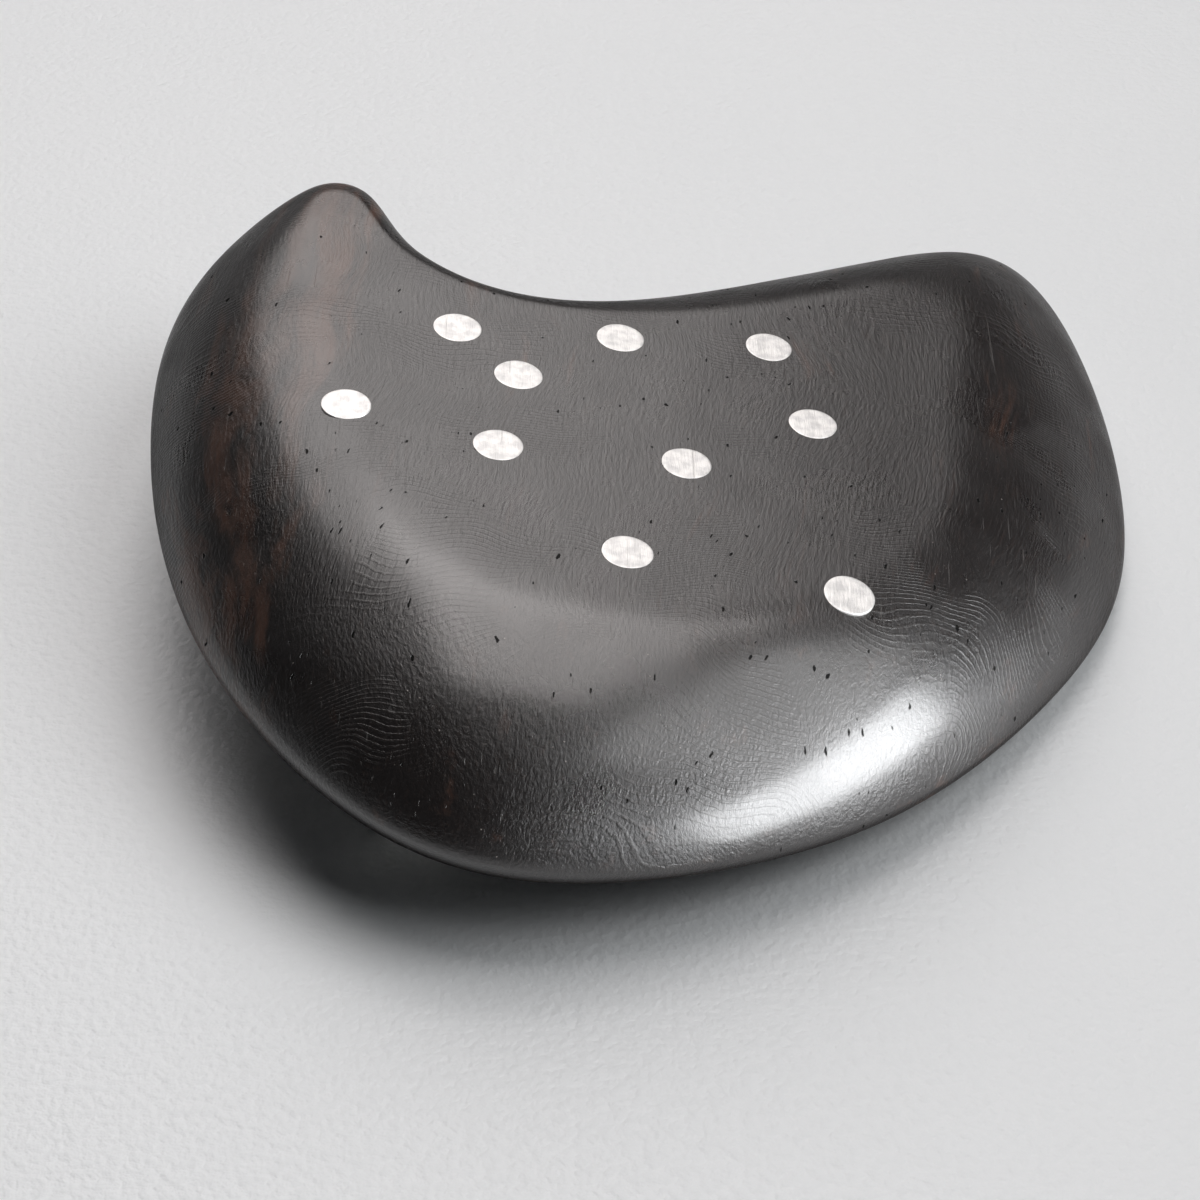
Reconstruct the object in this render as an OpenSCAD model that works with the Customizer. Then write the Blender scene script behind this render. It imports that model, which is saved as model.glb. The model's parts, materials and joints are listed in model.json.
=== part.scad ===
// Kidney-shaped ebony brooch with ten silver pins let into its domed face.
// A pin-back finding is screwed to the flat wooden back: a bar, a hinge with its
// rivet, a swinging stem, and a catch with a turning safety sleeve.
//
// Everything is drawn in the wood's own frame: z = 0 is the flat back, +z is the
// domed face, -z is the side that lies against the cloth. lay_down() then puts
// the brooch on a table, where it rests on the finding and on its right rim.

/* [Wooden body] */
// Height of the dome above the widest line of the rim
dome_h = 5.6; // [4.8:0.1:6.4]
// How long the dome stays flat before it rolls over (higher is flatter)
dome_fullness = 1.8; // [1.6:0.1:3]
// How late the dome turns down at the rim (higher is sharper)
dome_turn = 0.7; // [0.5:0.05:0.75]
// Radius of the small round between the rim and the flat back
under_round = 1.2; // [0.9:0.1:1.5]

/* [Silver inlay] */
// Diameter of each silver pin
inlay_d = 2; // [1.6:0.1:2.2]
// Thickness of wood left under the pins, more than the screws reach into
inlay_floor = 3; // [3:0.25:4]

/* [Finding: bar and screws] */
// Length of the bar
bar_l = 26; // [25.6:0.1:26.6]
// Width of the bar
bar_w = 4.4; // [4:0.2:5]
// Thickness of the bar
bar_t = 0.6; // [0.5:0.05:0.7]
// Distance between the two wood screws
screw_spacing = 13; // [11:0.5:14]
// Shank diameter of the wood screws
screw_d = 1.2; // [1:0.1:1.4]
// Length of the wood screws, head included
screw_l = 3.4; // [3:0.1:3.4]

/* [Finding: hinge and stem] */
// Distance from the wood's back to the middle of the stem
stem_drop = 2.3; // [2.2:0.05:2.5]
// Diameter of the stem
stem_d = 0.9; // [0.8:0.05:0.95]
// Diameter of the rivet that the stem swings on
rivet_d = 1; // [0.9:0.05:1.1]
// How far the stem is swung open
stem_open = 0; // [0:5:120]

/* [Finding: catch] */
// Length of the catch housing along the stem
housing_l = 2.4; // [2:0.1:2.6]
// How far the safety sleeve is turned towards locked
sleeve_turn = 0; // [0:5:170]

/* [Hidden] */
inlay_names = [for (i = [1:10]) str("inlay_pin_", i < 10 ? "0" : "", i)];
$fn = 48;
eps = 0.01;

// Control points of the rim, clockwise from the tip of the left horn, seen from
// the domed side. A closed cubic B-spline runs through their neighbourhood.
rim_ctrl = [
    [-16, 20.5], [-11.8, 20.4], [-10.3, 14.2], [-5, 11], [2, 15.6], [11.8, 21.8],
    [18.4, 24.9], [21.2, 16], [21.5, 1.5], [17, -7], [9.5, -16], [-1, -20.4],
    [-9.5, -20.4], [-18.1, -10.1], [-21, 2.5], [-21, 14.4]];
// Control points of the edge of the flat crown, one for each rim point.
crown_ctrl = [
    [-15.5, 15], [-13, 15.5], [-12, 11], [-6.5, 7.5], [1, 8], [7, 10.5],
    [12, 13.5], [13.5, 10.5], [11.5, 4.5], [12, -3], [6.5, -10], [-1, -11],
    [-7, -9.5], [-12, -4], [-13.5, 3.5], [-14.5, 10]];
steps = 6;      // straight pieces for each control point
top_rings = 10; // rings from the crown out to the rim
under_rings = 4;
n_around = len(rim_ctrl) * steps;
thickness = under_round + dome_h;

// Middles of the silver pins
inlay_xy = [
    [-12.7, -0.6], [-8.5, 5.7], [-5.9, 2.8], [-6.6, -2.2], [-1.7, 6.3],
    [0.9, -2], [-1.5, -8.1], [4.6, 6.9], [6.2, 1.7], [7, -9.2]];

// The finding stands left of the middle, so that the brooch hangs without tipping
bar_x = -9;
bar_y = -1.5;
hinge_gap = 21; // from the hinge's rivet to the middle of the catch
hinge_y = bar_y + hinge_gap / 2;
catch_y = bar_y - hinge_gap / 2;
screw_head_r = 1.1;
screw_r = screw_d / 2;
slot_w = 0.3; // driver slot in each screw head

stem_r = stem_d / 2;
eye_r = 1.1;
eye_t = 1;
ear_gap = eye_t + 0.2;
ear_t = 0.6;
ear_r = 1.5;
ear_x = ear_gap / 2 + ear_t;
rivet_r = rivet_d / 2;
rivet_play = 0.05;
rivet_head_r = 0.85;
rivet_head_t = 0.3;
rivet_crown_r = 0.5;
wall_near = 1.25; // from the rivet to the hinge's end wall, which stops the stem
wall_t = 0.5;
wall_drop = 0.8; // how far the end wall reaches past the rivet's middle
heel_near = 0.1; // the stem's heel stands this far from the rivet's middle
heel_t = 0.9;
heel_play = 0.05;
stem_neck = hinge_y - ear_r - 0.2; // the round shank begins clear of the ears
taper_y = catch_y + 2.5;
neck_in = 0.8; // the square neck ends inside the eye, this far from its middle
tip_y = catch_y - 2.8;
tip_r = 0.06;

mouth_w = 1.1; // the slot in housing and sleeve that the stem drops through
housing_r = 1.7;
housing_bore = 1.15;
sleeve_r = 1.1;
sleeve_bore = 0.62;
flange_r = 1.5;
flange_t = 0.5;
flange_play = 0.1;
lever_l = 2.7;
lever_w = 1;
lever_rise = 20; // degrees above level at rest, on the left

// One point of a closed cubic B-spline: t counts control points
function spline_at(c, t) =
    let (i = floor(t), f = t - i, n = len(c),
         a = c[(i + n - 1) % n], b = c[i % n], d = c[(i + 1) % n], e = c[(i + 2) % n])
    ((1 - f) ^ 3 * a + (3 * f ^ 3 - 6 * f ^ 2 + 4) * b
     + (3 * f + 3 * f ^ 2 - 3 * f ^ 3 + 1) * d + f ^ 3 * e) / 6;
function loop(c) = [for (k = [0:n_around - 1]) spline_at(c, k / steps)];
rim = loop(rim_ctrl);
crown = loop(crown_ctrl);

// A ring of the dome, u = 0 at the crown's edge and u = 1 at the rim
function dome_z(u) = under_round + dome_h * max(0, 1 - u ^ dome_fullness) ^ dome_turn;
function dome_ring(u) = [for (k = [0:n_around - 1])
    let (p = crown[k] + (rim[k] - crown[k]) * u) [p.x, p.y, dome_z(u)]];
// A ring of the round under the rim, a = 0 at the rim and a = 90 at the flat back
function under_ring(a) = [for (k = [0:n_around - 1])
    let (inward = (crown[k] - rim[k]) / norm(crown[k] - rim[k]),
         p = rim[k] + inward * under_round * (1 - cos(a)))
    [p.x, p.y, under_round * (1 - sin(a))]];
// The rings lie closer together near the rim, and the first is well clear of the crown
function crowded(k) = sin(90 * (k / top_rings) ^ 0.6);
rings = concat(
    [for (k = [0:top_rings]) dome_ring(crowded(k))],
    [for (k = [1:under_rings]) under_ring(90 * k / under_rings)]);
n_rings = len(rings);
ring_points = [for (r = rings) each r];

// How the brooch lies on a table: it leans to the right until the line across the
// finding and the right rim is level
right_x = max([for (p = rim) p.x]) - under_round;
foot_dx = right_x - bar_x;
foot_dz = under_round + stem_drop;
lie = atan2(foot_dz, foot_dx) + asin((housing_r - under_round) / norm([foot_dx, foot_dz]));
function laid(p) = [p.x * cos(lie) + p.z * sin(lie), p.y, p.z * cos(lie) - p.x * sin(lie)];
laid_points = [for (p = ring_points) laid(p)];
function span_mid(v) = (min(v) + max(v)) / 2;
shift = [
    -span_mid([for (p = laid_points) p.x]),
    -span_mid([for (p = laid_points) p.y]),
    under_round - laid([right_x, 0, under_round]).z];

module lay_down() translate(shift) rotate([0, lie, 0]) children();
// A cylinder along Y or X, from the origin towards +y or +x
module rod_y(r, l, r2) rotate([-90, 0, 0]) cylinder(r1 = r, r2 = is_undef(r2) ? r : r2, h = l);
module rod_x(r, l) rotate([0, 90, 0]) cylinder(r = r, h = l);
// Places a shape at a point of the stem's middle line
module on_stem(y) translate([bar_x, y, -stem_drop]) children();

module wood_blank() {
    last = (n_rings - 1) * n_around;
    polyhedron(
        points = ring_points,
        faces = concat(
            [for (r = [0:n_rings - 2], k = [0:n_around - 1], half = [0, 1])
                let (j = (k + 1) % n_around, a = r * n_around, b = a + n_around)
                half == 0 ? [a + k, a + j, b + j] : [a + k, b + j, b + k]],
            [[for (k = [n_around - 1:-1:0]) k]],
            [[for (k = [0:n_around - 1]) last + k]]));
}

module inlay_hole(i) translate([inlay_xy[i].x, inlay_xy[i].y, inlay_floor])
    cylinder(r = inlay_d / 2, h = thickness);

module screw_places() for (s = [-1, 1]) translate([bar_x, bar_y + s * screw_spacing / 2, 0])
    children();

module wood_body() color([0.13, 0.11, 0.1]) lay_down() difference() {
    wood_blank();
    for (i = [0:len(inlay_xy) - 1]) inlay_hole(i);
    screw_places() translate([0, 0, -eps]) cylinder(r = screw_r, h = screw_l - bar_t + eps);
}

module inlay_pin(i) color([0.93, 0.93, 0.91]) lay_down() intersection() {
    wood_blank();
    inlay_hole(i);
}

module base_bar() color([0.78, 0.78, 0.76]) lay_down() difference() {
    straight = bar_l - bar_w;
    translate([bar_x, bar_y, -bar_t]) union() {
        translate([-bar_w / 2, -straight / 2, 0]) cube([bar_w, straight, bar_t]);
        for (s = [-1, 1]) translate([0, s * straight / 2, 0]) cylinder(r = bar_w / 2, h = bar_t);
    }
    screw_places() translate([0, 0, -bar_t]) cylinder(r1 = screw_head_r, r2 = screw_r, h = bar_t);
}

module bar_screw(side) color([0.7, 0.7, 0.7]) lay_down()
    translate([bar_x, bar_y + side * screw_spacing / 2, -bar_t]) difference() {
        union() {
            cylinder(r1 = screw_head_r, r2 = screw_r, h = bar_t);
            cylinder(r = screw_r, h = screw_l);
        }
        translate([-slot_w / 2, -screw_head_r, -eps]) cube([slot_w, 2 * screw_head_r, bar_t / 2]);
    }

module hinge_joint() color([0.8, 0.8, 0.78]) lay_down() on_stem(hinge_y) difference() {
    top = stem_drop - bar_t;
    union() {
        for (s = [-1, 1]) translate([s > 0 ? ear_gap / 2 : -ear_x, 0, 0]) {
            rod_x(ear_r, ear_t);
            translate([0, -ear_r, 0]) cube([ear_t, ear_r + wall_near + wall_t, top]);
        }
        translate([-ear_x, wall_near, -wall_drop]) cube([2 * ear_x, wall_t, top + wall_drop]);
    }
    translate([-ear_x - eps, 0, 0]) rod_x(rivet_r, 2 * ear_x + 2 * eps);
}

module hinge_rivet() color([0.85, 0.85, 0.84]) lay_down() on_stem(hinge_y) {
    translate([-ear_x - eps, 0, 0]) rod_x(rivet_r, 2 * ear_x + 2 * eps);
    for (s = [-1, 1]) rotate([0, s * 90, 0]) translate([0, 0, ear_x]) {
        cylinder(r = rivet_head_r, h = rivet_head_t / 2);
        translate([0, 0, rivet_head_t / 2])
            cylinder(r1 = rivet_head_r, r2 = rivet_crown_r, h = rivet_head_t / 2);
    }
}

module pin_stem() color([0.88, 0.88, 0.87]) lay_down() on_stem(hinge_y) rotate([stem_open, 0, 0])
    difference() {
        heel_h = stem_drop - bar_t - heel_play;
        union() {
            translate([-eye_t / 2, 0, 0]) rod_x(eye_r, eye_t);
            translate([-eye_t / 2, -heel_near - heel_t, 0]) cube([eye_t, heel_t, heel_h]);
            translate([-stem_r, stem_neck - hinge_y, -stem_r])
                cube([stem_d, hinge_y - stem_neck - neck_in, stem_d]);
            translate([0, taper_y - hinge_y, 0]) rod_y(stem_r, stem_neck - taper_y);
            translate([0, tip_y - hinge_y, 0]) rod_y(tip_r, taper_y - tip_y, stem_r);
        }
        translate([-eye_t, 0, 0]) rod_x(rivet_r + rivet_play, 2 * eye_t);
    }

module mouth(l) translate([-mouth_w / 2, -eps, -2 * housing_r])
    cube([mouth_w, l + 2 * eps, 2 * housing_r]);

module catch_housing() color([0.8, 0.8, 0.78]) lay_down()
    on_stem(catch_y - housing_l / 2) difference() {
        union() {
            rod_y(housing_r, housing_l);
            translate([-housing_r, 0, 0]) cube([2 * housing_r, housing_l, stem_drop - bar_t]);
        }
        translate([0, -eps, 0]) rod_y(housing_bore, housing_l + 2 * eps);
        mouth(housing_l);
    }

module safety_sleeve() color([0.86, 0.86, 0.85]) lay_down() {
    half = housing_l / 2 + flange_play;
    on_stem(catch_y) rotate([0, -sleeve_turn, 0]) difference() {
        union() {
            translate([0, -half, 0]) rod_y(sleeve_r, 2 * half);
            for (s = [-half - flange_t, half]) translate([0, s, 0]) rod_y(flange_r, flange_t);
            translate([0, -half - flange_t, 0]) rotate([0, lever_rise, 0]) {
                translate([lever_w / 2 - lever_l, 0, -lever_w / 2])
                    cube([lever_l - lever_w / 2, flange_t, lever_w]);
                translate([lever_w / 2 - lever_l, 0, 0]) rod_y(lever_w / 2, flange_t);
            }
        }
        translate([0, -half - flange_t - eps, 0]) rod_y(sleeve_bore, 2 * (half + flange_t + eps));
        translate([0, -half - flange_t, 0]) mouth(2 * (half + flange_t));
    }
}

wood_body();
for (i = [0:len(inlay_names) - 1]) inlay_pin(i);
base_bar();
bar_screw(-1);  // bar_screw_front
bar_screw(1);  // bar_screw_back
hinge_joint();
hinge_rivet();
pin_stem();
catch_housing();
safety_sleeve();
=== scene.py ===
import json
import math
import bpy
import bmesh
from mathutils import Matrix, Vector, noise
from mathutils.bvhtree import BVHTree
from mathutils.geometry import delaunay_2d_cdt

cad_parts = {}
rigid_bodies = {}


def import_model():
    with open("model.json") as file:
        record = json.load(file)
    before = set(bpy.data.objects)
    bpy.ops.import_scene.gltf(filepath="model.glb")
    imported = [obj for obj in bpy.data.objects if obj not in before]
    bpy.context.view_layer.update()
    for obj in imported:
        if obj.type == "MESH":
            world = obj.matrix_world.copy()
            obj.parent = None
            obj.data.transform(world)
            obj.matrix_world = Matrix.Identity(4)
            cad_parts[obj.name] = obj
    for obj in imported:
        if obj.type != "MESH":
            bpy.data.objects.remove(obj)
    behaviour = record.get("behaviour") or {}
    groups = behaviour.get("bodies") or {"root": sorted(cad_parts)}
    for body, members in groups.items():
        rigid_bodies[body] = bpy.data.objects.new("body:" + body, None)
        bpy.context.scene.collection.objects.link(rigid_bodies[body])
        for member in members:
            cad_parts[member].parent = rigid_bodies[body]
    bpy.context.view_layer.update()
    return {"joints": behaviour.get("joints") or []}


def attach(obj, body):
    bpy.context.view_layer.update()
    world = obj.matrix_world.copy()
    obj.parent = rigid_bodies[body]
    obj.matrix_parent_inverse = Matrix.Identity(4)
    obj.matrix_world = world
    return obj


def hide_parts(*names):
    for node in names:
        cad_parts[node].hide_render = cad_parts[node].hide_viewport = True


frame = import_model()

# ---- How the brooch lies ------------------------------------------------------------
# Every piece is drawn in millimetres with the wood's flat back level at z = 0. The brooch
# then leans to its right on the table: the hinge's rivet line gives the lean and place.
MM = 0.001
BAR_X, HINGE_Y, CATCH_Y, STEM_DROP = -9, 9, -12, 2.3
hinge = next(j for j in frame["joints"] if j["name"] == "stem_hinge")
rivet_line = Vector(hinge["axis"])
lean = Matrix.Rotation(math.atan2(-rivet_line.z, rivet_line.x), 4, "Y")
rivet_at = Vector((BAR_X, HINGE_Y, -STEM_DROP)) * MM
lying = Matrix.Translation(Vector(hinge["pos_m"]) - lean @ rivet_at) @ lean


def add_grain(mesh):
    """Stores each point's place in the wood's own frame, in millimetres, for the materials."""
    back = lying.inverted()
    places = [c / MM for v in mesh.vertices for c in back @ v.co]
    mesh.attributes.new("grain", "FLOAT_VECTOR", "POINT").data.foreach_set("vector", places)


def set_down(shape, name, material, body, nodes, sharp=35):
    """Lays a finished shape on the table as one piece of the brooch."""
    bmesh.ops.remove_doubles(shape, verts=shape.verts, dist=1e-5)
    bmesh.ops.recalc_face_normals(shape, faces=shape.faces)
    mesh = bpy.data.meshes.new(name)
    shape.to_mesh(mesh)
    shape.free()
    mesh.transform(lying @ Matrix.Scale(MM, 4))
    add_grain(mesh)
    mesh.polygons.foreach_set("use_smooth", [True] * len(mesh.polygons))
    mesh.set_sharp_from_angle(angle=math.radians(sharp))
    mesh.materials.append(material)
    piece = bpy.data.objects.new(name, mesh)
    bpy.context.scene.collection.objects.link(piece)
    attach(piece, body)
    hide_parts(*nodes)
    return piece


# ---- Wooden body --------------------------------------------------------------------
# One piece of ebony, sawn to a kidney outline, carved to a low dome that turns down at
# the rim, scraped, sanded and wax polished. The back is left flat for the finding.
RIM = [
    (-16, 20.5), (-11.8, 20.4), (-10.3, 14.2), (-5, 11), (2, 15.6), (11.8, 21.8),
    (18.4, 24.9), (21.2, 16), (21.5, 1.5), (17, -7), (9.5, -16), (-1, -20.4),
    (-9.5, -20.4), (-18.1, -10.1), (-21, 2.5), (-21, 14.4)]
CROWN = [
    (-15.5, 15), (-13, 15.5), (-12, 11), (-6.5, 7.5), (1, 8), (7, 10.5),
    (12, 13.5), (13.5, 10.5), (11.5, 4.5), (12, -3), (6.5, -10), (-1, -11),
    (-7, -9.5), (-12, -4), (-13.5, 3.5), (-14.5, 10)]
DOME_H, DOME_FULLNESS, DOME_TURN, UNDER_ROUND = 5.6, 1.8, 0.7, 1.2
AROUND = 32  # points along the rim for each control point
OVER_RINGS, UNDER_RINGS = 84, 12
CROWD = 0.8  # under 1, the rings lie closer together near the rim
CELL_X, CELL_Y = 0.7, 0.6  # the triangles that fill the crown
DIPS = ((0.05, 0.11), (0.012, 0.45))  # the carver's unevenness: how deep, how close together
DIPS_FULL = 3  # how far above the rim the unevenness is at its full depth


def spline_loop(control):
    points = []
    for i in range(len(control)):
        a, b, c, d = (Vector(control[(i + k) % len(control)]) for k in (-1, 0, 1, 2))
        for j in range(AROUND):
            f = j / AROUND
            points.append(((1 - f) ** 3 * a + (3 * f**3 - 6 * f**2 + 4) * b
                           + (3 * f + 3 * f**2 - 3 * f**3 + 1) * c + f**3 * d) / 6)
    return points


rim = spline_loop(RIM)
crown = spline_loop(CROWN)
rings = []
for k in range(OVER_RINGS + 1):  # from the crown's edge over the dome to the rim
    u = math.sin(math.pi / 2 * (k / OVER_RINGS) ** CROWD)
    z = UNDER_ROUND + DOME_H * max(0, 1 - u**DOME_FULLNESS) ** DOME_TURN
    rings.append([(*(c + (r - c) * u), z) for c, r in zip(crown, rim)])
for k in range(1, UNDER_RINGS + 1):  # under the rim to the flat back
    a = math.pi / 2 * k / UNDER_RINGS
    rings.append([(*(r + (c - r).normalized() * UNDER_ROUND * (1 - math.cos(a))),
                   UNDER_ROUND * (1 - math.sin(a))) for c, r in zip(crown, rim)])
shape = bmesh.new()
loops = [[shape.verts.new(p) for p in ring] for ring in rings]
n = len(rim)
for upper, lower in zip(loops, loops[1:]):
    for k in range(n):
        shape.faces.new((upper[k], lower[k], lower[(k + 1) % n], upper[(k + 1) % n]))
shape.faces.new(loops[-1])

# The crown is filled with small triangles, so that it can carry the carver's unevenness
crown_top = UNDER_ROUND + DOME_H
sprinkle = [
    Vector((x * CELL_X + (y % 2) * CELL_X / 2, y * CELL_Y))
    for x in range(-24, 24) for y in range(-24, 28)]
cells = delaunay_2d_cdt(
    crown + sprinkle, [(k, (k + 1) % n) for k in range(n)], [], 1, 1e-5)
corners = [shape.verts.new((*p, crown_top)) for p in cells[0]]
for cell in cells[2]:
    shape.faces.new([corners[k] for k in cell])
bmesh.ops.delete(shape, geom=[v for v in corners if not v.link_faces], context="VERTS")
bmesh.ops.remove_doubles(shape, verts=shape.verts, dist=1e-4)
for v in shape.verts:
    sway = sum(deep * noise.noise(v.co * close) for deep, close in DIPS)
    v.co.z += sway * min(1, max(0, (v.co.z - UNDER_ROUND) / DIPS_FULL))
bmesh.ops.recalc_face_normals(shape, faces=shape.faces)
wood_surface = BVHTree.FromBMesh(shape)


def wire(tree, kind, links=(), **settings):
    """Adds a shader node, sets its properties and plugs values or sockets into its inputs."""
    new = tree.nodes.new("ShaderNode" + kind)
    for key, value in settings.items():
        setattr(new, key, value)
    for key, value in dict(links).items():
        if isinstance(value, bpy.types.NodeSocket):
            tree.links.new(value, new.inputs[key])
        else:
            new.inputs[key].default_value = value
    return new


def maths(tree, operation, a, b=0.5, c=0.5):
    return wire(tree, "Math", {0: a, 1: b, 2: c}, operation=operation).outputs[0]


def graded(tree, value, low, high, to_low=0.0, to_high=1.0):
    """Turns a value between low and high into one between to_low and to_high, with soft ends."""
    return wire(tree, "MapRange", {"Value": value, 1: low, 2: high, 3: to_low, 4: to_high},
                interpolation_type="SMOOTHSTEP").outputs[0]


def mixed(tree, factor, a, b):
    new = wire(tree, "Mix", {0: factor, 6: a, 7: b}, data_type="RGBA")
    return new.outputs[2]


def group(name, inputs, outputs):
    """A shader effect that more than one material uses."""
    tree = bpy.data.node_groups.new(name, "ShaderNodeTree")
    for label, kind in inputs.items():
        tree.interface.new_socket(label, in_out="INPUT", socket_type="NodeSocket" + kind)
    for label in outputs:
        tree.interface.new_socket(label, in_out="OUTPUT", socket_type="NodeSocketFloat")
    return tree, tree.nodes.new("NodeGroupInput"), tree.nodes.new("NodeGroupOutput")


# Hairline scratches in two directions, with a few longer ones among them
scratch_tree, given, result = group(
    "hairlines", {"Place": "Vector", "Amount": "Float"}, ["Lines"])
lines = []
for turn, fine, seed in ((0.5, 8.0, 3.0), (-0.9, 10.0, 11.0), (2.3, 7.0, 23.0)):
    turned_place = wire(scratch_tree, "Mapping", {
        "Vector": given.outputs["Place"], "Location": (seed, seed, 0),
        "Rotation": (0, 0, turn), "Scale": (fine, 0.12, fine * 0.2)}).outputs[0]
    hair = wire(scratch_tree, "TexNoise", {
        "Vector": turned_place, "Scale": 1.0, "Detail": 2.0, "Distortion": 0.15}).outputs[0]
    lines.append(graded(scratch_tree, hair, 0.72, 0.76))
both = maths(scratch_tree, "MAXIMUM", lines[0], lines[1])
every = maths(scratch_tree, "MAXIMUM", both, lines[2])
scratch_tree.links.new(
    maths(scratch_tree, "MULTIPLY", every, given.outputs["Amount"]), result.inputs["Lines"])


def material(name):
    """A new material with its Principled node and the wood-frame place of each point."""
    new = bpy.data.materials.new(name)
    new.use_nodes = True
    tree = new.node_tree
    place = wire(tree, "Attribute", attribute_name="grain").outputs["Vector"]
    return new, tree, tree.nodes["Principled BSDF"], place


def set_bump(tree, bsdf, height):
    """Height is in millimetres."""
    bump = wire(tree, "Bump", {"Height": height, "Strength": 1.0, "Distance": MM})
    tree.links.new(bump.outputs[0], bsdf.inputs["Normal"])


ebony, tree, bsdf, place = material("ebony")
wander = wire(tree, "TexNoise", {"Vector": place, "Scale": 0.07, "Detail": 2.0}).outputs[1]
bent = wire(tree, "VectorMath", {0: wander, 1: (5, 5, 5), 2: place},
            operation="MULTIPLY_ADD").outputs[0]
along = wire(tree, "Mapping", {"Vector": bent, "Rotation": (0, 0, 0.12)}).outputs[0]
stretched = wire(tree, "Mapping", {"Vector": along, "Scale": (1, 0.1, 1)}).outputs[0]

# Brown heart streaks, strongest in one band on the left, on nearly black wood
streaks = wire(tree, "TexNoise", {
    "Vector": stretched, "Scale": 0.8, "Detail": 6.0, "Roughness": 0.66}).outputs[0]
across = wire(tree, "SeparateXYZ", {0: along}).outputs[0]
from_band = maths(tree, "ABSOLUTE", maths(tree, "ADD", across, 14.0))
band = graded(tree, from_band, 0.5, 4.5, 0.2, 0)
brown = graded(tree, maths(tree, "ADD", streaks, band), 0.58, 0.82)
fibres = wire(tree, "TexNoise", {
    "Vector": stretched, "Scale": 7.0, "Detail": 4.0, "Roughness": 0.7}).outputs[0]
colour = mixed(tree, brown, (0.0075, 0.0058, 0.0056, 1), (0.062, 0.031, 0.021, 1))
lit_fibres = graded(tree, fibres, 0.5, 0.75, 0, 0.35)
colour = mixed(tree, lit_fibres, colour, (0.032, 0.02, 0.0155, 1))

# Open pores: short slits along the grain, crowded in some places and rare in others
ragged = wire(tree, "TexNoise", {"Vector": along, "Scale": 3.0, "Detail": 3.0}).outputs[1]
ragged = wire(tree, "VectorMath", {0: ragged, 1: (0.25, 0.35, 0.1), 2: along},
              operation="MULTIPLY_ADD").outputs[0]
slits = wire(tree, "Mapping", {"Vector": ragged, "Scale": (2.1, 0.95, 0.8)}).outputs[0]
pore_cells = wire(tree, "TexVoronoi", {"Vector": slits, "Scale": 1.0})
pick = wire(tree, "SeparateColor", {0: pore_cells.outputs["Color"]})
crowd = wire(tree, "TexNoise", {"Vector": place, "Scale": 0.13, "Detail": 1.0}).outputs[0]
chosen = maths(tree, "LESS_THAN", pick.outputs[0], graded(tree, crowd, 0.42, 0.58, 0.2, 1.0))
pore_size = maths(tree, "MULTIPLY_ADD", pick.outputs[1], 0.09, 0.05)
pore_depth = maths(tree, "SUBTRACT", pore_size, pore_cells.outputs["Distance"])
pores = maths(tree, "MULTIPLY", graded(tree, pore_depth, -0.015, 0.03), chosen)
colour = mixed(tree, pores, colour, (0.002, 0.0018, 0.0018, 1))

# Fine wavy ripples that cross the grain in patches, as in wood with a curled figure
curl = wire(tree, "TexNoise", {"Vector": place, "Scale": 0.16, "Detail": 1.0}).outputs[1]
curled = wire(tree, "VectorMath", {0: curl, 1: (4, 5, 0), 2: place},
              operation="MULTIPLY_ADD").outputs[0]
ripple_wave = wire(tree, "TexWave", {
    "Vector": curled, "Scale": 1.4, "Distortion": 2.6, "Detail": 4.0,
    "Detail Scale": 1.3, "Detail Roughness": 0.65}, bands_direction="Y").outputs[1]
patchy = wire(tree, "TexNoise", {"Vector": place, "Scale": 0.2, "Detail": 3.0}).outputs[0]
ripple_zone = graded(tree, patchy, 0.46, 0.6)
ripples = maths(tree, "MULTIPLY", graded(tree, ripple_wave, 0.62, 0.98), ripple_zone)
colour = mixed(tree, maths(tree, "MULTIPLY", ripples, 0.1), colour, (0.06, 0.05, 0.045, 1))

hairlines = wire(tree, "Group", node_tree=scratch_tree)
tree.links.new(place, hairlines.inputs["Place"])
hairlines.inputs["Amount"].default_value = 1.0
scratches = hairlines.outputs["Lines"]
dust = wire(tree, "TexVoronoi", {"Vector": place, "Scale": 2.2})
specks = maths(tree, "MULTIPLY", graded(tree, dust.outputs["Distance"], 0.02, 0.09, 1, 0), graded(
    tree, wire(tree, "TexNoise", {"Vector": place, "Scale": 0.6}).outputs[0], 0.52, 0.6))
colour = mixed(tree, maths(tree, "MULTIPLY", specks, 0.5), colour, (0.3, 0.27, 0.24, 1))
colour = mixed(tree, maths(tree, "MULTIPLY", scratches, 0.2), colour, (0.1, 0.09, 0.08, 1))
tree.links.new(colour, bsdf.inputs["Base Color"])

handled = wire(tree, "TexNoise", {"Vector": place, "Scale": 0.35, "Detail": 4.0}).outputs[0]
polish = graded(tree, handled, 0.3, 0.7, 0.25, 0.35)
polish = maths(tree, "MULTIPLY_ADD", pores, 0.35, polish)
tree.links.new(maths(tree, "MULTIPLY_ADD", scratches, 0.15, polish), bsdf.inputs["Roughness"])

# Wax over oiled wood, which shows little gloss where the surface is seen edge on
facing = wire(tree, "LayerWeight", {"Blend": 0.5}).outputs["Facing"]
dry = graded(tree, pores, 0.0, 1.0, 1.0, 0.1)  # no wax lies in the pores
gloss = graded(tree, facing, 0.35, 0.8, 0.75, 0.03)
tree.links.new(maths(tree, "MULTIPLY", gloss, dry), bsdf.inputs["Specular IOR Level"])
wax = graded(tree, facing, 0.3, 0.72, 1.0, 0.02)
tree.links.new(maths(tree, "MULTIPLY", wax, dry), bsdf.inputs["Coat Weight"])
bsdf.inputs["Coat Roughness"].default_value = 0.21

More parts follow.
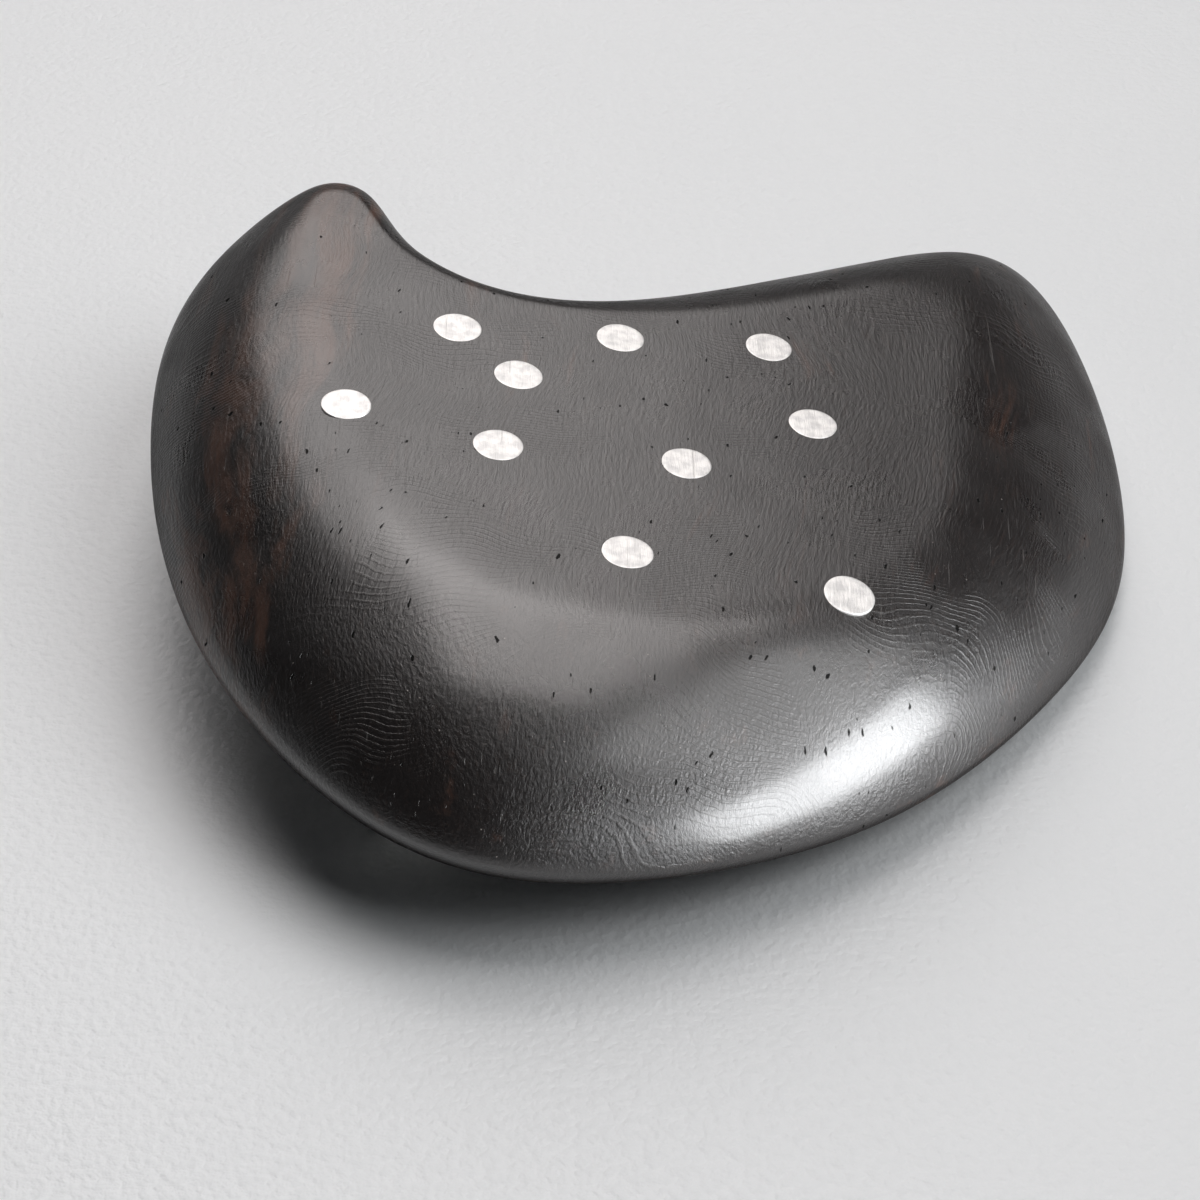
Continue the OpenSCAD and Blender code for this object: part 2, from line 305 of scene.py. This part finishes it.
sanded = wire(tree, "TexNoise", {
    "Vector": wire(tree, "Mapping", {"Vector": along, "Scale": (1, 0.2, 1)}).outputs[0],
    "Scale": 7.0, "Detail": 4.0, "Roughness": 0.65}).outputs[0]
height = maths(tree, "MULTIPLY", pores, -0.07)
height = maths(tree, "MULTIPLY_ADD", ripples, 0.01, height)
height = maths(tree, "MULTIPLY_ADD", fibres, 0.008, height)
height = maths(tree, "MULTIPLY_ADD", sanded, 0.042, height)
height = maths(tree, "MULTIPLY_ADD", scratches, -0.008, height)
height = maths(tree, "MULTIPLY_ADD", specks, 0.012, height)
set_bump(tree, bsdf, height)
set_down(shape, "ebony_body", ebony, "brooch", ["wood_body"], sharp=60)

# ---- Silver inlay pins --------------------------------------------------------------
# Ten lengths of 2 mm silver wire, glued into drilled holes, filed flush with the dome and
# rubbed down with the wood, which leaves a dull, finely scratched face.
PIN_R, PIN_DEEP = 1.0, 0.9
PINS = [
    (-12.7, -0.6), (-8.5, 5.7), (-5.9, 2.8), (-6.6, -2.2), (-1.7, 6.3),
    (0.9, -2), (-1.5, -8.1), (4.6, 6.9), (6.2, 1.7), (7, -9.2)]


def turned(shape, profile, to=Matrix(), around=64, wobble=0.0):
    """Spins (radius, height) pairs about local z. The ends close where the radius is 0."""
    last = None
    for radius, height in profile:
        if radius == 0:
            ring = [shape.verts.new(to @ Vector((0, 0, height)))] * around
        else:
            ring = []
            for k in range(around):
                a = math.tau * k / around
                r = radius + wobble * noise.noise((math.cos(a), math.sin(a), 7))
                ring.append(shape.verts.new(to @ Vector((r * math.cos(a), r * math.sin(a), height))))
        if last:
            for k in range(around):
                four = [last[k], last[(k + 1) % around], ring[(k + 1) % around], ring[k]]
                corners = list(dict.fromkeys(four))
                if len(corners) > 2:
                    shape.faces.new(corners)
        last = ring


silver, tree, bsdf, place = material("inlay_silver")
bsdf.inputs["Metallic"].default_value = 1.0
mottle = wire(tree, "TexNoise", {"Vector": place, "Scale": 2.2, "Detail": 5.0}).outputs[0]
tone = mixed(tree, graded(tree, mottle, 0.35, 0.7), (0.88, 0.87, 0.855, 1), (0.68, 0.675, 0.67, 1))
filed = wire(tree, "TexNoise", {
    "Vector": wire(tree, "Mapping", {
        "Vector": place, "Rotation": (0, 0, 0.7), "Scale": (9, 0.8, 3)}).outputs[0],
    "Scale": 1.6, "Detail": 4.0, "Roughness": 0.7}).outputs[0]
hairlines = wire(tree, "Group", node_tree=scratch_tree)
tree.links.new(place, hairlines.inputs["Place"])
hairlines.inputs["Amount"].default_value = 0.8
scratches = hairlines.outputs["Lines"]
tree.links.new(mixed(tree, scratches, tone, (0.6, 0.59, 0.58, 1)), bsdf.inputs["Base Color"])
tree.links.new(graded(tree, filed, 0.3, 0.7, 0.42, 0.6), bsdf.inputs["Roughness"])
height = maths(tree, "MULTIPLY", filed, 0.012)
set_bump(tree, bsdf, maths(tree, "MULTIPLY_ADD", scratches, -0.006, height))

shape = bmesh.new()
turned(shape, [
    (0, 0.008), (0.35, 0.009), (0.7, 0.011), (0.9, 0.012), (0.96, 0.009), (PIN_R - 0.01, 0.003),
    (PIN_R, -0.01), (PIN_R, -PIN_DEEP), (0, -PIN_DEEP)], around=72, wobble=0.025)
bmesh.ops.recalc_face_normals(shape, faces=shape.faces)
pin_mesh = bpy.data.meshes.new("one_pin")
shape.to_mesh(pin_mesh)
shape.free()
pin_mesh.transform(Matrix.Scale(MM, 4))
pin_mesh.polygons.foreach_set("use_smooth", [True] * len(pin_mesh.polygons))
pin_mesh.set_sharp_from_angle(angle=math.radians(50))
one_pin = bpy.data.objects.new("one_pin", pin_mesh)

# Where each drilled hole meets the dome, and which way the wood faces there
spots, facings = [], []
for x, y in PINS:
    spot, facing = wood_surface.ray_cast(Vector((x, y, 20)), Vector((0, 0, -1)))[:2]
    for dx, dy in ((0.7, 0), (-0.7, 0), (0, 0.7), (0, -0.7)):
        facing += wood_surface.ray_cast(Vector((x + dx, y + dy, 20)), Vector((0, 0, -1)))[1]
    spots.append(lying @ (spot * MM))
    facings += list(lying.to_3x3() @ facing.normalized())
spot_mesh = bpy.data.meshes.new("pin_spots")
spot_mesh.from_pydata(spots, [], [])
spot_mesh.attributes.new("facing", "FLOAT_VECTOR", "POINT").data.foreach_set("vector", facings)
pins = bpy.data.objects.new("silver_pins", spot_mesh)
bpy.context.scene.collection.objects.link(pins)

setting = bpy.data.node_groups.new("set_pins", "GeometryNodeTree")
for label, kind in (("Geometry", "Geometry"), ("Pin", "Object"), ("Silver", "Material"),
                    ("Smallest", "Float"), ("Largest", "Float"), ("Seed", "Int")):
    setting.interface.new_socket(label, in_out="INPUT", socket_type="NodeSocket" + kind)
setting.interface.new_socket("Geometry", in_out="OUTPUT", socket_type="NodeSocketGeometry")


def step(kind, links=(), **settings):
    new = setting.nodes.new(kind)
    for key, value in settings.items():
        setattr(new, key, value)
    for key, value in dict(links).items():
        if isinstance(value, bpy.types.NodeSocket):
            setting.links.new(value, new.inputs[key])
        else:
            new.inputs[key].default_value = value
    return new


given = setting.nodes.new("NodeGroupInput")
pin_shape = step("GeometryNodeObjectInfo", {"Object": given.outputs["Pin"]})
faces_to = step("GeometryNodeInputNamedAttribute", {"Name": "facing"}, data_type="FLOAT_VECTOR")
upright = step("FunctionNodeAlignRotationToVector", {"Vector": faces_to.outputs[0]}, axis="Z")
spread = step("FunctionNodeRandomValue", {
    2: given.outputs["Smallest"], 3: given.outputs["Largest"], "Seed": given.outputs["Seed"]})
spin = step("FunctionNodeRandomValue", {2: 0.0, 3: math.tau, "Seed": given.outputs["Seed"]})
turn = step("ShaderNodeCombineXYZ", {2: spin.outputs[1]})
placed = step("GeometryNodeInstanceOnPoints", {
    "Points": given.outputs["Geometry"], "Instance": pin_shape.outputs["Geometry"],
    "Rotation": upright.outputs[0], "Scale": spread.outputs[1]})
rotated = step("GeometryNodeRotateInstances", {
    "Instances": placed.outputs[0], "Rotation": turn.outputs[0]})
real = step("GeometryNodeRealizeInstances", {"Geometry": rotated.outputs[0]})
coated = step("GeometryNodeSetMaterial", {
    "Geometry": real.outputs[0], "Material": given.outputs["Silver"]})
setting.links.new(coated.outputs[0], setting.nodes.new("NodeGroupOutput").inputs[0])

modifier = pins.modifiers.new("set_pins", "NODES")
modifier.node_group = setting
wanted = {"Pin": one_pin, "Silver": silver, "Smallest": 0.985, "Largest": 1.015, "Seed": 5}
for item in setting.interface.items_tree:
    if item.in_out == "INPUT" and item.name in wanted:
        modifier[item.identifier] = wanted[item.name]
solid = bpy.data.meshes.new_from_object(pins.evaluated_get(bpy.context.evaluated_depsgraph_get()))
pins.modifiers.clear()
pins.data = solid
add_grain(solid)
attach(pins, "brooch")
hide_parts(*[f"inlay_pin_{k:02d}" for k in range(1, 11)])

# ---- Finding: the bar ---------------------------------------------------------------
# A strip of nickel silver with round ends, blanked from sheet, its edges tumbled, with
# two countersunk holes. It lies against the flat back of the wood.
BAR_L, BAR_W, BAR_T, BAR_Y, SCREW_GAP = 26, 4.4, 0.6, -1.5, 13
HEAD_R, SLOT_W, SLOT_DEEP = 1.1, 0.3, 0.3


def arc(cx, cy, r, start, end, steps=24):
    turns = [math.radians(start + (end - start) * k / steps) for k in range(steps + 1)]
    return [(cx + r * math.cos(a), cy + r * math.sin(a)) for a in turns]


def plate(shape, loops, low, high, edge, to=Matrix()):
    """A plate between two heights with rounded edges. The first loop is its outline,
    anticlockwise; any others are holes, clockwise."""
    caps = [[], []]
    for loop in loops:
        points = [Vector(p) for p in loop]
        points = [p for k, p in enumerate(points) if (p - points[k - 1]).length > 1e-4]
        insets = []
        for k, p in enumerate(points):
            before = (p - points[k - 1]).normalized()
            after = (points[(k + 1) % len(points)] - p).normalized()
            inward = Vector((-before.y - after.y, before.x + after.x)).normalized()
            insets.append(inward / max(0.5, inward.dot(Vector((-after.y, after.x)))))
        rows = []
        for half in (0, 1):
            for a in (0, 30, 60, 90):
                turn = math.radians(a if half == 0 else 90 - a)
                inset = edge * (1 - math.sin(turn))
                rise = edge * (1 - math.cos(turn))
                z = low + rise if half == 0 else high - rise
                rows.append([shape.verts.new(to @ Vector((*(p + i * inset), z)))
                             for p, i in zip(points, insets)])
        for lower, upper in zip(rows, rows[1:]):
            for k in range(len(points)):
                j = (k + 1) % len(points)
                shape.faces.new((lower[k], lower[j], upper[j], upper[k]))
        caps[0].append(rows[0])
        caps[1].append(rows[-1])
    for cap in caps:
        sides = [shape.edges.get((row[k - 1], row[k])) for row in cap for k in range(len(row))]
        bmesh.ops.triangle_fill(shape, use_beauty=True, edges=sides)


steel, tree, bsdf, place = material("finding_steel")
bsdf.inputs["Metallic"].default_value = 1.0
brushed = wire(tree, "TexNoise", {
    "Vector": wire(tree, "Mapping", {"Vector": place, "Scale": (14, 0.5, 14)}).outputs[0],
    "Scale": 1.0, "Detail": 4.0, "Roughness": 0.65}).outputs[0]
dull = wire(tree, "TexNoise", {"Vector": place, "Scale": 0.5, "Detail": 4.0}).outputs[0]
tone = mixed(tree, graded(tree, dull, 0.4, 0.65), (0.62, 0.6, 0.57, 1), (0.46, 0.44, 0.41, 1))
hairlines = wire(tree, "Group", node_tree=scratch_tree)
tree.links.new(place, hairlines.inputs["Place"])
hairlines.inputs["Amount"].default_value = 1.0
scratches = hairlines.outputs["Lines"]
tree.links.new(mixed(tree, scratches, tone, (0.35, 0.34, 0.32, 1)), bsdf.inputs["Base Color"])
worn = graded(tree, dull, 0.35, 0.7, 0.26, 0.42)
tree.links.new(maths(tree, "MULTIPLY_ADD", brushed, 0.12, worn), bsdf.inputs["Roughness"])
height = maths(tree, "MULTIPLY", brushed, 0.008)
set_bump(tree, bsdf, maths(tree, "MULTIPLY_ADD", scratches, -0.005, height))

straight = (BAR_L - BAR_W) / 2
outline = (arc(0, straight, BAR_W / 2, 0, 180, 32) + arc(0, -straight, BAR_W / 2, 180, 360, 32))
holes = [arc(0, s * SCREW_GAP / 2, HEAD_R + 0.03, 360, 0, 40) for s in (-1, 1)]
shape = bmesh.new()
plate(shape, [outline] + holes, -BAR_T, 0, 0.14, Matrix.Translation((BAR_X, BAR_Y, 0)))
set_down(shape, "base_bar_visual", steel, "brooch", ["base_bar"])

# ---- Finding: the two wood screws ---------------------------------------------------
# Small countersunk steel screws with a straight driver slot, turned in from below until
# their heads are level with the bar.
polished, tree, bsdf, place = material("stem_steel")
bsdf.inputs["Metallic"].default_value = 1.0
stains = wire(tree, "TexNoise", {"Vector": place, "Scale": 0.9, "Detail": 5.0}).outputs[0]
tone = mixed(tree, graded(tree, stains, 0.42, 0.7), (0.72, 0.72, 0.71, 1), (0.56, 0.55, 0.53, 1))
hairlines = wire(tree, "Group", node_tree=scratch_tree)
tree.links.new(place, hairlines.inputs["Place"])
hairlines.inputs["Amount"].default_value = 0.7
scratches = hairlines.outputs["Lines"]
tree.links.new(tone, bsdf.inputs["Base Color"])
smooth = graded(tree, stains, 0.35, 0.7, 0.12, 0.26)
tree.links.new(maths(tree, "MULTIPLY_ADD", scratches, 0.12, smooth), bsdf.inputs["Roughness"])
set_bump(tree, bsdf, maths(tree, "MULTIPLY", scratches, -0.004))

SCREW_R, SCREW_L, SLOT_R = 0.6, 3.4, 0.85
THREAD_FROM, THREAD_PITCH, THREAD_DEEP, THREADS = 0.3, 0.22, 0.12, 10
for name, side in (("front", -1), ("back", 1)):
    shape = bmesh.new()
    to = Matrix.Translation((BAR_X, BAR_Y + side * SCREW_GAP / 2, 0))
    open_a = math.degrees(math.asin(SLOT_W / 2 / HEAD_R))
    for half in (0, 180):
        cheek = arc(0, 0, HEAD_R, half - 90 + open_a, half + 90 - open_a, 28)
        plate(shape, [cheek], -BAR_T, SLOT_DEEP - BAR_T, 0.05, to)
    thread = [(SCREW_R - THREAD_DEEP * (k % 2), THREAD_FROM + THREAD_PITCH * k)
              for k in range(THREADS)]
    turned(shape, [(0, SLOT_DEEP - BAR_T), (SLOT_R, SLOT_DEEP - BAR_T), (SCREW_R, 0)] + thread
           + [(0.2, SCREW_L - BAR_T - 0.1), (0, SCREW_L - BAR_T)], to, 40)
    set_down(shape, f"bar_screw_{name}_visual", polished, "brooch", [f"bar_screw_{name}"])

# ---- Finding: the hinge -------------------------------------------------------------
# A folded sheet bracket soldered to the bar: two rounded ears and an end wall that stops
# the stem when it stands open. A shallow pool of solder runs round its foot.
EYE_T, EAR_T, EAR_R, WALL_NEAR, WALL_T, WALL_DROP = 1.0, 0.6, 1.5, 1.25, 0.5, 0.8
RIVET_R = 0.5
EAR_IN = EYE_T / 2 + 0.1
EAR_OUT = EAR_IN + EAR_T
TOP = STEM_DROP - BAR_T
along_x = Matrix(((0, 0, 1, 0), (1, 0, 0, 0), (0, 1, 0, 0), (0, 0, 0, 1)))
along_y = Matrix(((1, 0, 0, 0), (0, 0, 1, 0), (0, 1, 0, 0), (0, 0, 0, 1)))
at_hinge = Matrix.Translation((BAR_X, HINGE_Y, -STEM_DROP))
far_end = WALL_NEAR + WALL_T
ear = arc(0, 0, EAR_R, 180, 360, 32) + [(far_end, 0), (far_end, TOP), (-EAR_R, TOP)]
shape = bmesh.new()
for low, high in ((EAR_IN, EAR_OUT), (-EAR_OUT, -EAR_IN)):
    plate(shape, [ear, arc(0, 0, RIVET_R, 360, 0, 32)], low, high, 0.08, at_hinge @ along_x)
wall = [(-EAR_OUT, -WALL_DROP), (EAR_OUT, -WALL_DROP), (EAR_OUT, TOP), (-EAR_OUT, TOP)]
plate(shape, [wall], WALL_NEAR, far_end, 0.1, at_hinge @ along_y)


def solder(shape, x, front, back, y):
    """A thin pool that softens the corner between a foot and the bar."""
    pool = (arc(x - 0.1, back - 0.1, 0.25, 0, 90, 6) + arc(0.1 - x, back - 0.1, 0.25, 90, 180, 6)
            + arc(0.1 - x, front + 0.1, 0.25, 180, 270, 6)
            + arc(x - 0.1, front + 0.1, 0.25, 270, 360, 6))
    plate(shape, [pool], -BAR_T - 0.13, -BAR_T + 0.02, 0.1, Matrix.Translation((BAR_X, y, 0)))


solder(shape, EAR_OUT, -EAR_R, far_end, HINGE_Y)
set_down(shape, "hinge_joint_visual", steel, "brooch", ["hinge_joint"])

# ---- Finding: the hinge's rivet -----------------------------------------------------
# Steel wire through both ears and the stem's eye, its ends peened to low round heads.
HEAD = [(0, 0.3), (0.25, 0.29), (0.5, 0.24), (0.7, 0.15), (0.82, 0.05), (0.85, 0.0)]
shape = bmesh.new()
turned(shape, [(r, EAR_OUT + h) for r, h in HEAD] + [(RIVET_R, EAR_OUT)]
       + [(RIVET_R, -EAR_OUT)] + [(r, -EAR_OUT - h) for r, h in reversed(HEAD)],
       at_hinge @ along_x, 48)
set_down(shape, "hinge_rivet_visual", polished, "brooch", ["hinge_rivet"])

# ---- Finding: the pin stem ----------------------------------------------------------
# Hard-drawn steel wire, flattened at one end to an eye with a square heel, ground to a
# long point at the other and polished.
EYE_R, HEEL_T, HEEL_NEAR, STEM_R, TIP_R = 1.1, 0.9, 0.1, 0.45, 0.06
NECK, TAPER, TIP = -1.7, -18.5, -23.8  # from the rivet's middle
shape = bmesh.new()
eye = arc(0, 0, EYE_R, 0, 360, 64)[:-1]
plate(shape, [eye, arc(0, 0, RIVET_R + 0.05, 360, 0, 40)], -EYE_T / 2, EYE_T / 2, 0.1,
      at_hinge @ along_x)
heel_h = TOP - 0.05
heel = [(-HEEL_NEAR - HEEL_T, 0.6), (-HEEL_NEAR, 0.6), (-HEEL_NEAR, heel_h),
        (-HEEL_NEAR - HEEL_T, heel_h)]
plate(shape, [heel], -EYE_T / 2, EYE_T / 2, 0.08, at_hinge @ along_x)
wire_line = []
for k in range(9):  # the neck goes from a square bar to round wire
    wire_line.append((-0.8 + (NECK - 1.5 + 0.8) * k / 8, STEM_R, max(0, 1 - k / 7)))
for k in range(1, 13):
    wire_line.append((NECK - 1.5 + (TAPER - NECK + 1.5) * k / 12, STEM_R, 0))
for k in range(1, 17):  # the point is slightly full, as it comes off a belt
    f = k / 16
    wire_line.append((TAPER + (TIP + 0.05 - TAPER) * f, TIP_R + (STEM_R - TIP_R) * (1 - f**1.25), 0))
wire_line.append((TIP, 0.02, 0))
last = None
for y, r, square in wire_line:
    ring = []
    for k in range(32):
        a = math.tau * k / 32
        c, s = math.cos(a), math.sin(a)
        reach = r * ((1 - square) + square / max(abs(c), abs(s)))
        ring.append(shape.verts.new(at_hinge @ Vector((reach * c, y, reach * s))))
    for k in range(32):
        if last:
            shape.faces.new((last[k], last[(k + 1) % 32], ring[(k + 1) % 32], ring[k]))
    if last is None or y == TIP:
        shape.faces.new(ring)
    last = ring
set_down(shape, "pin_stem_visual", polished, "stem", ["pin_stem"], sharp=40)

# ---- Finding: the catch housing -----------------------------------------------------
# A short block soldered to the bar, bored along the stem and slit underneath, so that
# the stem drops in through the slit.
HOUSING_R, HOUSING_BORE, HOUSING_L, MOUTH = 1.7, 1.15, 2.4, 0.55
at_catch = Matrix.Translation((BAR_X, CATCH_Y, -STEM_DROP))


def slit_ring(outer, bore, shoulders=()):
    """The section of a tube that is slit underneath, drawn anticlockwise."""
    out_a = math.degrees(math.asin(MOUTH / outer))
    in_a = math.degrees(math.asin(MOUTH / bore))
    section = arc(0, 0, outer, -90 + out_a, 0 if shoulders else 90, 28) + list(shoulders)
    section += arc(0, 0, outer, 180 if shoulders else 90, 270 - out_a, 28)
    return section + arc(0, 0, bore, 270 - in_a, -90 + in_a, 48)


shape = bmesh.new()
block = slit_ring(HOUSING_R, HOUSING_BORE, [(HOUSING_R, TOP), (-HOUSING_R, TOP)])
plate(shape, [block], -HOUSING_L / 2, HOUSING_L / 2, 0.1, at_catch @ along_y)
solder(shape, HOUSING_R, -HOUSING_L / 2, HOUSING_L / 2, CATCH_Y)
set_down(shape, "catch_housing_visual", steel, "brooch", ["catch_housing"])

# ---- Finding: the safety sleeve -----------------------------------------------------
# A slit tube that turns inside the housing, held by a flange at each end. A small lever
# on the front flange turns it half round, which shuts the slit over the stem.
SLEEVE_R, SLEEVE_BORE, FLANGE_R, FLANGE_T, FLANGE_PLAY = 1.1, 0.62, 1.5, 0.5, 0.1
LEVER_L, LEVER_W, LEVER_RISE = 2.7, 1.0, 20
half = HOUSING_L / 2 + FLANGE_PLAY
shape = bmesh.new()
plate(shape, [slit_ring(SLEEVE_R, SLEEVE_BORE)], -half - 0.1, half + 0.1, 0.03,
      at_catch @ along_y)
for low in (-half - FLANGE_T, half):
    plate(shape, [slit_ring(FLANGE_R, SLEEVE_BORE)], low, low + FLANGE_T, 0.09,
          at_catch @ along_y)
handle = arc(0.5 * LEVER_W - LEVER_L, 0, LEVER_W / 2, 90, 270, 20) + [
    (-0.75, -LEVER_W / 2), (-0.75, LEVER_W / 2)]
tilt = Matrix.Rotation(math.radians(LEVER_RISE), 4, "Y")
plate(shape, [handle], -half - FLANGE_T, -half, 0.12, at_catch @ tilt @ along_y)
set_down(shape, "safety_sleeve_visual", steel, "sleeve", ["safety_sleeve"])

# ---- Camera, table and light --------------------------------------------------------
# A close view from the front, well above the brooch, which lies on a pale satin table
# under four large soft lights: behind, overhead, high on the right and low on the right.
CAMERA_AWAY, CAMERA_ABOVE = 112, 39  # millimetres from what it looks at, and degrees
TABLE = 1  # half the table's width, in metres
camera = bpy.data.objects.new("camera", bpy.data.cameras.new("camera"))
bpy.context.scene.collection.objects.link(camera)
bpy.context.scene.camera = camera
camera.data.sensor_width = 36
camera.data.lens = 90
camera.data.clip_start = 0.001
look_at = lying @ (Vector((-2.5, -10.7, 6.4)) * MM)
above = math.radians(CAMERA_ABOVE)
camera.location = look_at + Vector((0, -math.cos(above), math.sin(above))) * CAMERA_AWAY * MM
camera.rotation_euler = (math.pi / 2 - above, 0, 0)

floor = bpy.data.objects.new("table", bpy.data.meshes.new("table"))
floor.data.from_pydata(
    [(x * TABLE, y * TABLE, 0) for x, y in ((-1, -1), (1, -1), (1, 1), (-1, 1))],
    [], [(0, 1, 2, 3)])
bpy.context.scene.collection.objects.link(floor)
lacquer = bpy.data.materials.new("table")
lacquer.use_nodes = True
tree = lacquer.node_tree
bsdf = tree.nodes["Principled BSDF"]
place = wire(tree, "TexCoord").outputs["Object"]
pebbles = wire(tree, "TexNoise", {"Vector": place, "Scale": 2600.0, "Detail": 2.0}).outputs[0]
cloudy = wire(tree, "TexNoise", {"Vector": place, "Scale": 40.0, "Detail": 3.0}).outputs[0]
tree.links.new(mixed(tree, cloudy, (0.92, 0.945, 0.96, 1), (0.88, 0.91, 0.93, 1)),
               bsdf.inputs["Base Color"])
tree.links.new(graded(tree, pebbles, 0.3, 0.7, 0.3, 0.5), bsdf.inputs["Roughness"])
set_bump(tree, bsdf, maths(tree, "MULTIPLY", pebbles, 0.07))
floor.data.materials.append(lacquer)


def soft_light(name, at, size, radiance, tint):
    """A large light that faces the brooch. Radiance is its brightness, whatever its size."""
    light = bpy.data.lights.new(name, "AREA")
    light.shape = "RECTANGLE"
    light.size, light.size_y = size
    light.energy = radiance * math.pi * size[0] * size[1]
    light.color = tint
    lamp = bpy.data.objects.new(name, light)
    lamp.location = at
    lamp.rotation_euler = (-Vector(at)).to_track_quat("-Z", "Y").to_euler()
    bpy.context.scene.collection.objects.link(lamp)
    return lamp


soft_light("back_window", (-0.15, 0.85, 0.75), (0.85, 0.9), 1.8, (1, 0.955, 0.94))
soft_light("ceiling", (0.05, 0.26, 0.9), (0.5, 0.6), 3.15, (1, 0.955, 0.94))
soft_light("right_window", (0.56, -0.14, 0.64), (0.6, 0.6), 2.6, (1, 1, 1))
low_window = soft_light(
    "low_window", (0.74, -0.36, 0.17), (0.7, 0.36), 14.5, (0.97, 0.985, 1))

# The low light is screened off from the table, so that it only reaches the brooch
lit = bpy.data.collections.new("lit_by_low_window")
for piece in bpy.data.objects:
    if piece.type == "MESH" and piece is not floor:
        lit.objects.link(piece)
low_window.light_linking.receiver_collection = lit
world = bpy.data.worlds.new("room")
world.use_nodes = True
tree = world.node_tree
# The room is dark to the brooch, like a light tent with black cards, but looks pale itself
glow = wire(tree, "Background", {"Color": (0.9, 0.95, 1, 1), "Strength": 0.02})
wall = wire(tree, "Background", {"Color": (0.78, 0.8, 0.82, 1), "Strength": 0.75})
looking = wire(tree, "LightPath").outputs["Is Camera Ray"]
room = wire(tree, "MixShader", {0: looking, 1: glow.outputs[0], 2: wall.outputs[0]})
tree.links.new(room.outputs[0], tree.nodes["World Output"].inputs["Surface"])
bpy.context.scene.world = world
bpy.context.scene.view_settings.view_transform = "Standard"
